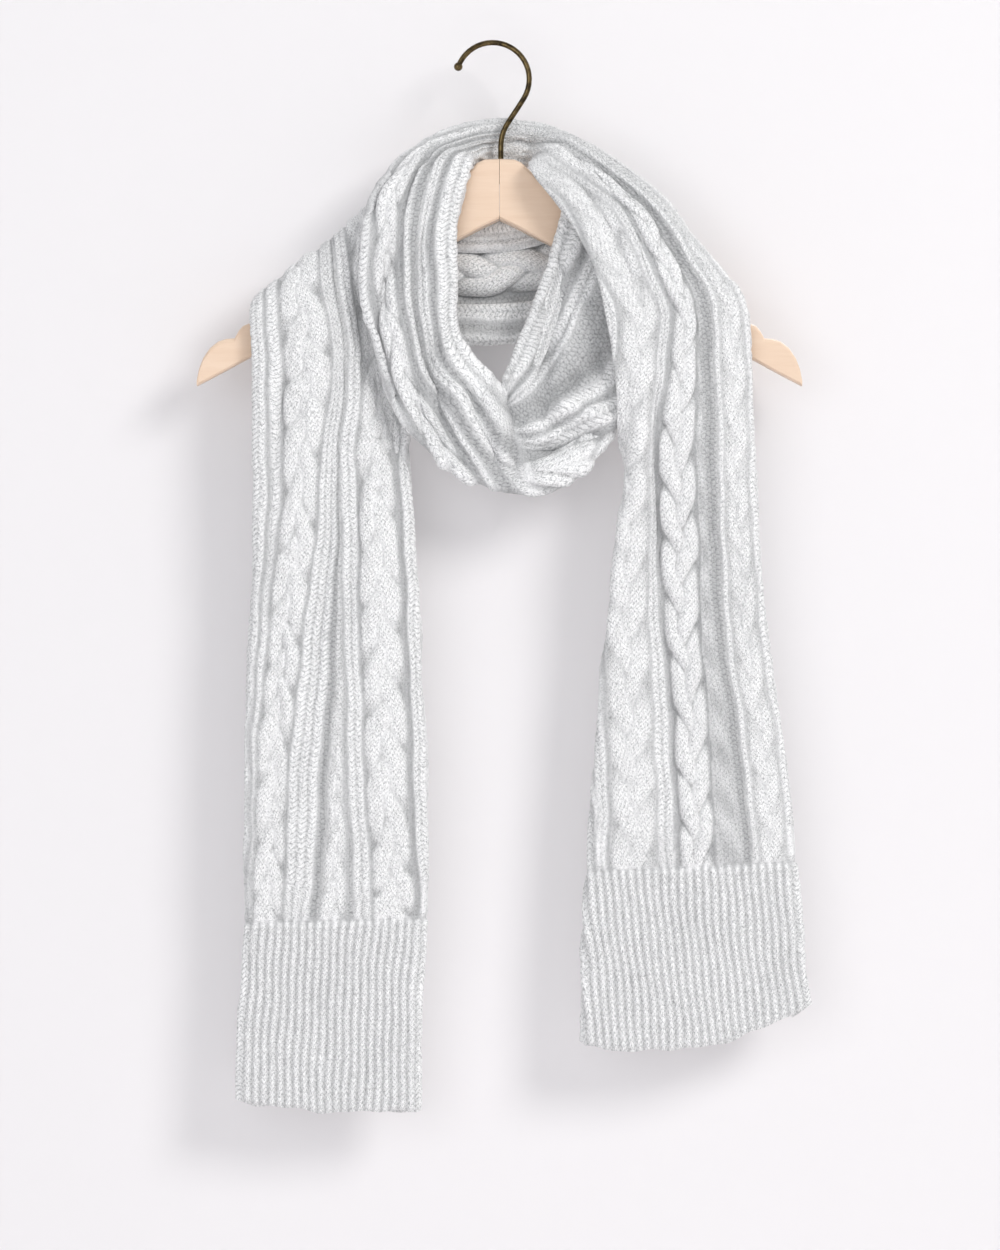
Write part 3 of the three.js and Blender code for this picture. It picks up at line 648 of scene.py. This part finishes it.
def woolUneven(shape, seed):
    # small random unevenness, the same each run, softened over its neighbours
    grain = np.random.default_rng(seed).normal(size=shape)
    for axis in (0, 1):
        grain = 0.5 * grain + 0.25 * (np.roll(grain, 1, axis) + np.roll(grain, -1, axis))
    return grain / grain.std()


def foldDepth(point, r):
    x, z = point[..., 0], point[..., 2]
    push = np.zeros(x.shape)
    fadeLength, leastDepth = 0.25, 0.15  # how a fold fades towards its ends
    for group in folds.values():
        first, last = group["rows"]
        reach = (smoothStep(r - first) * smoothStep(last - r))[:, None]
        if reach.max() <= 0:
            continue
        for line, depth, half in group["lines"]:
            near, spot = np.full(x.shape, 1e9), np.zeros(x.shape)
            for i, ((x0, z0), (x1, z1)) in enumerate(zip(line, line[1:])):
                size = (x1 - x0) ** 2 + (z1 - z0) ** 2
                t = np.clip(((x - x0) * (x1 - x0) + (z - z0) * (z1 - z0)) / size, 0, 1)
                away = np.hypot(x - x0 - t * (x1 - x0), z - z0 - t * (z1 - z0))
                spot = np.where(away < near, (i + t) / (len(line) - 1), spot)
                near = np.minimum(near, away)
            ends = smoothStep(np.minimum(spot, 1 - spot) / fadeLength)
            ends = leastDepth + (1 - leastDepth) * ends
            push += reach * depth * np.exp(-((near / half) ** 2)) * ends
    return push


def surfaceNormals(point):
    return unit(np.cross(np.gradient(point, axis=1), np.gradient(point, axis=0)))


def runPastTheEnds(point, paths):
    # beyond the scarf's ends the lines keep their spacing
    for over in (paths < 0, paths > densePath[-1]):
        if over.any():
            inner = np.argmax(~over) if over[0] else len(over) - 1 - np.argmax(~over[::-1])
            nearby = inner + (1 if over[0] else -1)
            for i in np.nonzero(over)[0]:
                point[i] = point[inner] + (point[inner] - point[nearby]) * abs(i - inner)


def freeEdgeRounding(name, w, width, path, curlA, curlB):
    # 1 well inside the cloth, falling in a round to nearly 0 at its free edges
    radius = clothValues["rollRadius"]
    edge = np.minimum(w - (radius - math.pi * radius - curlA),
                      (width - radius + math.pi * radius + curlB) - w)
    if name == "left_hem":
        edge = np.minimum(edge, path)
    if name == "right_hem":
        edge = np.minimum(edge, densePath[-1] - path)
    inward = np.clip(edge / clothValues["edgeRound"], 0, 1)
    return np.sqrt(np.clip(1 - (1 - inward) ** 2, 0.02, 1))


def softened(height, times):
    for _ in range(times):
        height = (height + np.roll(height, 1, 0) + np.roll(height, -1, 0)
                  + np.roll(height, 1, 1) + np.roll(height, -1, 1)) / 5
    return height


def wallMesh(name, columns, steps, back, front):
    # a grid extruded to a closed wall, its two sides then moved onto the two faces of the cloth;
    # i and j are each vertex's line and column
    bm = bmesh.new()
    bmesh.ops.create_grid(bm, x_segments=columns, y_segments=steps, size=1)
    wall = bmesh.ops.extrude_face_region(bm, geom=bm.faces[:], use_keep_orig=True)
    fresh = [v for v in wall["geom"] if isinstance(v, bmesh.types.BMVert)]
    bmesh.ops.translate(bm, verts=fresh, vec=(0, 0, 1))
    bmesh.ops.recalc_face_normals(bm, faces=bm.faces)
    mesh = bpy.data.meshes.new(name)
    bm.to_mesh(mesh)
    bm.free()
    flat = np.empty(len(mesh.vertices) * 3)
    mesh.vertices.foreach_get("co", flat)
    flat = flat.reshape(-1, 3)
    i = np.rint((flat[:, 1] + 1) / 2 * steps).astype(int)
    j = np.rint((flat[:, 0] + 1) / 2 * columns).astype(int)
    place = np.where(flat[:, 2:] > 0.5, front[i, j], back[i, j])
    place[:, 0] += seamX
    mesh.vertices.foreach_set("co", (place * mm).ravel())
    return mesh, i, j


def addAttribute(mesh, name, values):
    vector = values.ndim == 2
    made = mesh.attributes.new(name, "FLOAT_VECTOR" if vector else "FLOAT", "POINT")
    made.data.foreach_set("vector" if vector else "value", values.ravel())


def buildStretch(name):
    run, values = scarfRun[name], clothValues
    r0, r1 = firstRow[name], lastRow[name]
    zone, share = columnsFor(name)
    length = pathAt(r1) - pathAt(r0)
    steps = stepsOver(length, values["alongCell"] * (values["hemCoarser"] if "hem" in name else 1))
    pad = 3  # lines beyond both ends, so that the faces turn the same way on both sides of a join
    paths = pathAt(r0) + np.arange(-pad, steps + pad + 1) * length / steps
    last = densePath[-1]
    r = np.interp(np.clip(paths, 0, last), densePath, denseRows)
    strength = smoothStep(np.minimum(r - r0, r1 - r) / (r1 - r0) / values["pleatEnds"])[:, None]
    point, w, width, curlA, curlB = clothSurface(r, zone, share, run["pleats"], strength)
    path = paths[:, None] + 0 * w
    runPastTheEnds(point, paths)
    for hemName, fromEnd in (("left_hem", path), ("right_hem", last - path)):
        if name == hemName:
            nearEnd = smoothStep(1 - fromEnd / values["rippleLength"])
            point[..., 2] += wavesAt("hemRipple", w, path) * nearEnd
    normal = surfaceNormals(point)
    faceFront = smoothStep((0.5 - normal[..., 1]) / 0.7)
    push = foldDepth(point, r) * faceFront + wavesAt("waver", w, path) * values["waver"]
    point = point + normal * push[..., None]
    normal = surfaceNormals(point)

    height, column, purl, seam, lengthwise = knitRelief(r, w, width, path)
    topFirst, topLast = values["flatterRows"]
    onTop = smoothStep((r - topFirst) / 2) * smoothStep((topLast - r) / 2)
    height = height * (1 - 0.5 * onTop)[:, None]
    for hemTop in (pathAt(firstRow["left_tail"]), pathAt(firstRow["right_hem"])):
        height -= values["hemLineDepth"] * np.exp(-(((path - hemTop) / values["hemLineHalf"]) ** 2))
    rounding = freeEdgeRounding(name, w, width, path, curlA, curlB)
    half = values["wall"] / 2
    grain = values["woolliness"] * woolUneven(w.shape, values["grainSeed"] + r0)
    wrongSide = height * values["backFromNeck" if name == "back_pass" else "wrongSide"]
    front = point + normal * ((half + height + grain) * rounding)[..., None]
    back = point - normal * ((half + wrongSide) * rounding)[..., None]
    keep = slice(pad, pad + steps + 1)
    mesh, i, j = wallMesh(name, len(share) - 1, steps, back[keep], front[keep])

    rows = lengthwise / values["rowPitch"]
    addAttribute(mesh, "stitch", np.stack([part[keep][i, j] for part in (column, rows, purl)], 1))
    # painted shade from the relief, partly as it looks when seen softly, so that a valley darkens
    # its sides
    deep = 0.4 * height + 0.6 * softened(height, 2)
    valleyShade = np.clip(values["shadeMiddle"] - deep / values["shadeDepth"], 0, 1)
    # a fold pressed in adds more painted shade
    paintedShade = valleyShade + np.clip(-push / values["foldShadeDepth"], 0, values["foldShade"])
    addAttribute(mesh, "shade", np.clip(paintedShade[keep][i, j], 0, 1))
    addAttribute(mesh, "seam", seam[keep][i, j])
    edges = np.empty(len(mesh.edges) * 2, int)
    mesh.edges.foreach_get("vertices", edges)
    edges = edges.reshape(-1, 2)
    rim = (i[edges] == 0).all(1) | (i[edges] == steps).all(1)
    ends = mesh.attributes.new("sharp_edge", "BOOLEAN", "EDGE")
    ends.data.foreach_set("value", rim)
    mesh.polygons.foreach_set("use_smooth", np.ones(len(mesh.polygons), bool))
    uv = mesh.uv_layers.new(name="cloth")
    corners = np.empty(len(mesh.loops), int)
    mesh.loops.foreach_get("vertex_index", corners)
    across, down = w[keep][i, j] * mm, path[keep][i, j] * mm
    uv.data.foreach_set("uv", np.stack([across[corners], down[corners]], 1).ravel())
    mesh.update()
    piece = bpy.data.objects.new("knit_" + name, mesh)
    bpy.context.collection.objects.link(piece)
    roll = values["rollRadius"]
    lineLength = (width + curlA + curlB + math.pi * roll * 2 - 2 * roll).mean() * mm
    return piece, (float(lineLength), float(length * mm))


# Pale wool with darker fibres in it, and painted shade between its stitches, at seams and in
# valleys and folds
woolLook = {
    "light": (1.0, 1.0, 1.0, 1),
    "dark": (0.375, 0.383, 0.389, 1),
    # the colour that the painted shade darkens towards
    "paintedShade": (0.20, 0.205, 0.21, 1),
    "roughness": 0.95,
    "gloss": 0.15,
    "sheen": 0.35,
    "sheenSpread": 0.4,
    "stitchBump": 0.6,
    "stitchDepth": 0.0013,
    "fuzzBump": 0.4,
    "fuzzDepth": 0.0012,
    "fuzzScale": 1100,
    "wobble": 1.3,  # how far the stitches stray
    "wobbleScale": 260,
    "legSlant": 1.5,
    "fibreLength": (1.6, 5.5),  # across a column and down a row
    # pale fibres among dark ones: where the noise starts and ends, and its part in the mixture
    "mottleScale": 520,
    "mottle": (0.42, 0.54, 0.26),
    "streak": (0.38, 0.56, 0.36),
    "speckScale": 1050,
    "speck": (0.37, 0.46, 0.44),
    "patchScale": 30,
    "patch": 0.08,
    "stitchGapShade": 0.85,  # painted shade: how dark it gets between the stitches, at a seam and in a valley
    "seamShade": 0.16,
    "paintedShadeStrength": 0.6,
}


def newMaterial(name):
    material = bpy.data.materials.new(name)
    material.use_nodes = True
    nodes = material.node_tree.nodes
    nodes.clear()
    output = nodes.new("ShaderNodeOutputMaterial")
    shader = nodes.new("ShaderNodeBsdfPrincipled")
    material.node_tree.links.new(shader.outputs[0], output.inputs[0])
    return material, shader


class Graph:
    def __init__(self, material):
        self.tree = material.node_tree

    def node(self, kind, **inputs):
        made = self.tree.nodes.new(kind)
        for key, value in inputs.items():
            numbered = key[0] == "i" and key[1:].isdigit()
            self.put(value, made.inputs[int(key[1:])] if numbered else made.inputs[key])
        return made

    def put(self, value, socket):
        if isinstance(value, bpy.types.NodeSocket):
            self.tree.links.new(value, socket)
        else:
            socket.default_value = value

    def attribute(self, name):
        made = self.tree.nodes.new("ShaderNodeAttribute")
        made.attribute_name = name
        return made.outputs

    def place(self):
        return self.tree.nodes.new("ShaderNodeTexCoord").outputs["Object"]

    def math(self, operation, a, b=0.5):
        made = self.node("ShaderNodeMath", i0=a, i1=b)
        made.operation = operation
        return made.outputs[0]

    def times(self, a, b):
        return self.math("MULTIPLY", a, b)

    def plus(self, a, b):
        return self.math("ADD", a, b)

    def between(self, share, a, b):
        return self.node("ShaderNodeMix", i0=share, i2=a, i3=b).outputs[0]

    def mix(self, factor, a, b):
        made = self.tree.nodes.new("ShaderNodeMix")
        made.data_type = "RGBA"
        for value, index in ((factor, 0), (a, 6), (b, 7)):
            self.put(value, made.inputs[index])
        return made.outputs[2]

    def noise(self, vector, scale, detail=2.0, rough=0.5):
        made = self.node("ShaderNodeTexNoise", Vector=vector, Scale=scale, Detail=detail,
                         Roughness=rough)
        return made.outputs["Fac"]

    def ramp(self, value, low, high):
        made = self.node("ShaderNodeMapRange", Value=value)
        made.inputs["From Min"].default_value = low
        made.inputs["From Max"].default_value = high
        return made.outputs[0]


def stitchHeight(g, column, row, purl, wobble):
    # the two slanted legs of a knit stitch, or the bar of a purl one, and the slant for the fibres
    inColumn = g.math("FRACT", g.plus(column, g.times(wobble, 0.5)), 0)
    side = g.math("ABSOLUTE", g.math("SUBTRACT", inColumn, 0.5), 0)
    slant = g.math("SUBTRACT", row, g.times(side, woolLook["legSlant"]))
    knitRow = g.math("FRACT", g.plus(slant, wobble), 0)
    brick = g.times(g.math("FLOOR", column, 0), 0.5)
    purlRow = g.math("FRACT", g.plus(g.plus(row, brick), wobble), 0)
    legs = g.math("POWER", g.math("SINE", g.times(knitRow, math.pi), 0), 0.6)
    bars = g.math("POWER", g.math("SINE", g.times(purlRow, math.pi), 0), 0.7)
    ridge = g.math("SINE", g.times(side, 2 * math.pi), 0)
    middle = g.math("COSINE", g.times(side, math.pi), 0)
    knit = g.times(legs, g.plus(g.times(ridge, 0.5), 0.5))
    purled = g.times(bars, g.plus(g.times(middle, 0.6), 0.4))
    return g.between(purl, knit, purled), slant


def woolMaterial():
    material, shader = newMaterial("heatherWoolPaintedShade")
    g, look = Graph(material), woolLook
    seam, shade = g.attribute("seam")["Fac"], g.attribute("shade")["Fac"]
    unjoined = g.math("MINIMUM", g.times(seam, 2.0), 1.0)
    place = g.place()
    column, row, purl = g.node("ShaderNodeSeparateXYZ", i0=g.attribute("stitch")["Vector"]).outputs
    wobble = g.times(g.math("SUBTRACT", g.noise(place, look["wobbleScale"]), 0.5), look["wobble"])
    height, slant = stitchHeight(g, column, row, purl, wobble)
    height = g.between(unjoined, height, 0.5)
    acrossFibres, downFibres = look["fibreLength"]
    strokes = g.node("ShaderNodeCombineXYZ", i0=g.times(column, acrossFibres),
                     i1=g.times(slant, downFibres))
    streak = g.between(unjoined, g.noise(strokes.outputs[0], 1.0, 3, 0.7), 0.5)
    fuzz = g.noise(place, look["fuzzScale"], 3, 0.7)
    speck = g.noise(place, look["speckScale"], 1, 0.5)
    mottle = g.noise(place, look["mottleScale"], 3, 0.75)
    patch = g.noise(place, look["patchScale"])
    relief = g.plus(g.times(height, 0.75), g.times(streak, 0.5))
    stitches = g.node("ShaderNodeBump", Height=relief, Strength=look["stitchBump"],
                      Distance=look["stitchDepth"])
    fibres = g.node("ShaderNodeBump", Height=fuzz, Strength=look["fuzzBump"],
                    Distance=look["fuzzDepth"], Normal=stitches.outputs[0])
    g.put(fibres.outputs[0], shader.inputs["Normal"])
    heather = g.times(patch, look["patch"])
    for value, name in ((mottle, "mottle"), (streak, "streak"), (speck, "speck")):
        low, high, part = look[name]
        heather = g.plus(heather, g.times(g.ramp(value, low, high), part))
    base = g.mix(heather, look["dark"], look["light"])
    # painted shade: darker where the stitch legs dip, at the seams between bands, and by the shade
    # attribute in valleys and folds
    stitchGapShade = g.times(g.math("POWER", g.math("SUBTRACT", 1.0, height), 3.0), look["stitchGapShade"])
    base = g.mix(stitchGapShade, base, look["paintedShade"])
    base = g.mix(g.times(g.ramp(seam, 0.5, 1.0), look["seamShade"]), base, look["paintedShade"])
    base = g.mix(g.times(shade, look["paintedShadeStrength"]), base, look["paintedShade"])
    g.put(base, shader.inputs["Base Color"])
    shader.inputs["Roughness"].default_value = look["roughness"]
    shader.inputs["Sheen Weight"].default_value = look["sheen"]
    shader.inputs["Sheen Roughness"].default_value = look["sheenSpread"]
    shader.inputs["Specular IOR Level"].default_value = look["gloss"]
    return material


woodLook = {
    "pale": (0.735, 0.567, 0.432, 1),
    "warm": (0.69, 0.513, 0.378, 1),
    "armSlope": 32,  # degrees, so that the grain runs along the arm
    "grainStretch": 0.08,
    "grainScale": 184,
    "fleckScale": 900,
    "roughness": 0.35,
    "roughnessSpread": 0.15,
    "bump": 0.12,
    "bumpDepth": 0.0004,
}


def woodMaterial(side):
    material, shader = newMaterial("beech" + ("Left" if side < 0 else "Right"))
    g, look = Graph(material), woodLook
    turn = g.node("ShaderNodeMapping", Vector=g.place())
    turn.inputs["Rotation"].default_value = (0, side * math.radians(-look["armSlope"]), 0)
    turn.inputs["Scale"].default_value = (look["grainStretch"], 1, 1)
    rings = g.noise(turn.outputs[0], look["grainScale"], 3, 0.6)
    flecks = g.noise(turn.outputs[0], look["fleckScale"], 2, 0.6)
    tint = g.plus(g.times(rings, 0.7), g.times(flecks, 0.3))
    g.put(g.mix(g.ramp(tint, 0.35, 0.68), look["pale"], look["warm"]), shader.inputs["Base Color"])
    rough = g.plus(g.times(flecks, look["roughnessSpread"]), look["roughness"])
    g.put(rough, shader.inputs["Roughness"])
    bump = g.node("ShaderNodeBump", Height=tint, Strength=look["bump"], Distance=look["bumpDepth"])
    g.put(bump.outputs[0], shader.inputs["Normal"])
    return material


brassLook = {
    "worn": (0.14, 0.10, 0.045, 1),
    "dark": (0.018, 0.014, 0.01, 1),
    "patinaScale": 240,
    "roughness": 0.09,
    "roughnessSpread": 0.2,
}


def brassMaterial():
    material, shader = newMaterial("agedBrass")
    g, look = Graph(material), brassLook
    patina = g.noise(g.place(), look["patinaScale"], 3, 0.6)
    g.put(g.mix(g.ramp(patina, 0.4, 0.7), look["worn"], look["dark"]), shader.inputs["Base Color"])
    rough = g.plus(g.times(patina, look["roughnessSpread"]), look["roughness"])
    g.put(rough, shader.inputs["Roughness"])
    shader.inputs["Metallic"].default_value = 1.0
    return material


wool = woolMaterial()
# What each stretch of the scarf lies on
for name in stretchNames:
    piece, flatSize = buildStretch(name)
    piece.data.materials.append(wool)
    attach(piece, "root")
    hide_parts(name)
    across, along = (side / mm for side in flatSize)
    print(f"{name}: {across:.0f} x {along:.0f} mm, {len(piece.data.polygons) * 2} triangles")

finishes = {"arm_left": woodMaterial(-1), "arm_right": woodMaterial(1), "hook": brassMaterial()}
for name, material in finishes.items():
    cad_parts[name].material_slots[0].material = material
print("hanger finished")

# Stage, light and camera
stageLook = {
    "wallBehind": 0.045,
    "wallMiddle": -0.4,
    "wallColour": (0.752, 0.736, 0.745, 1),
    "sheetSize": 3.0,
    "floorDrop": 0.45,
    "cameraAway": 3.0,
    "frameHeight": 0.9125,
    "centre": (0.0054, -0.02, -0.426),
    "skyColour": (0.93, 0.94, 0.96, 1),
    "skyStrength": 0.66,
    "lights": [  # name, place, size, power, colour
        ("windowLight", (2.2, -2.9, 1.5), 1.5, 75, (1.0, 0.99, 0.975)),
        ("frontFill", (-0.9, -2.8, -0.1), 2.2, 20, (0.97, 0.975, 1.0)),
        ("lowFill", (0.1, -1.5, -1.6), 1.4, 15, (0.99, 0.99, 1.0)),
        ("backLight", (0.6, 2.2, 0.8), 1.6, 48, (1.0, 0.99, 0.98)),
    ],
}


def plainSheet(name, turn, place, clearBehind=False):
    bm = bmesh.new()
    bmesh.ops.create_grid(bm, x_segments=2, y_segments=2, size=stageLook["sheetSize"])
    mesh = bpy.data.meshes.new(name)
    bm.to_mesh(mesh)
    bm.free()
    sheetObject = bpy.data.objects.new(name, mesh)
    sheetObject.rotation_euler = turn
    sheetObject.location = place
    sheetObject.visible_shadow = not clearBehind
    bpy.context.collection.objects.link(sheetObject)
    material, shader = newMaterial(name + "Paint")
    g = Graph(material)
    shader.inputs["Base Color"].default_value = stageLook["wallColour"]
    shader.inputs["Roughness"].default_value = 0.9
    if clearBehind:  # the wall can be looked through from its back
        clear = g.tree.nodes.new("ShaderNodeBsdfTransparent")
        behind = g.tree.nodes.new("ShaderNodeNewGeometry").outputs["Backfacing"]
        mixer = g.node("ShaderNodeMixShader", i0=behind, i1=shader.outputs[0], i2=clear.outputs[0])
        output = next(n for n in g.tree.nodes if n.type == "OUTPUT_MATERIAL")
        g.put(mixer.outputs[0], output.inputs[0])
    mesh.materials.append(material)


wallPlace = (0, stageLook["wallBehind"], stageLook["wallMiddle"])
plainSheet("wall", (math.pi / 2, 0, 0), wallPlace, clearBehind=True)
lowest = cadBox[0][2]
plainSheet("floor", (0, 0, 0), (0, 0, lowest - stageLook["floorDrop"]))

centre = stageLook["centre"]
for name, place, size, power, colour in stageLook["lights"]:
    light = bpy.data.lights.new(name, "AREA")
    light.shape = "DISK"
    light.size = size
    light.energy = power
    light.color = colour
    lamp = bpy.data.objects.new(name, light)
    lamp.location = place
    lamp.rotation_euler = (Vector(centre) - Vector(place)).to_track_quat("-Z", "Y").to_euler()
    bpy.context.collection.objects.link(lamp)

world = bpy.data.worlds.new("studio")
world.use_nodes = True
background = world.node_tree.nodes["Background"]
background.inputs[0].default_value = stageLook["skyColour"]
background.inputs[1].default_value = stageLook["skyStrength"]
bpy.context.scene.world = world
bpy.context.scene.view_settings.view_transform = "Standard"

camera = bpy.data.cameras.new("camera")
camera.sensor_fit = "VERTICAL"
camera.sensor_height = 24
camera.lens = camera.sensor_height * stageLook["cameraAway"] / stageLook["frameHeight"]
cameraObject = bpy.data.objects.new("camera", camera)
cameraObject.location = (centre[0], centre[1] - stageLook["cameraAway"], centre[2])
cameraObject.rotation_euler = (math.pi / 2, 0, 0)
bpy.context.collection.objects.link(cameraObject)
bpy.context.scene.camera = cameraObject
print("stage, light and camera ready")
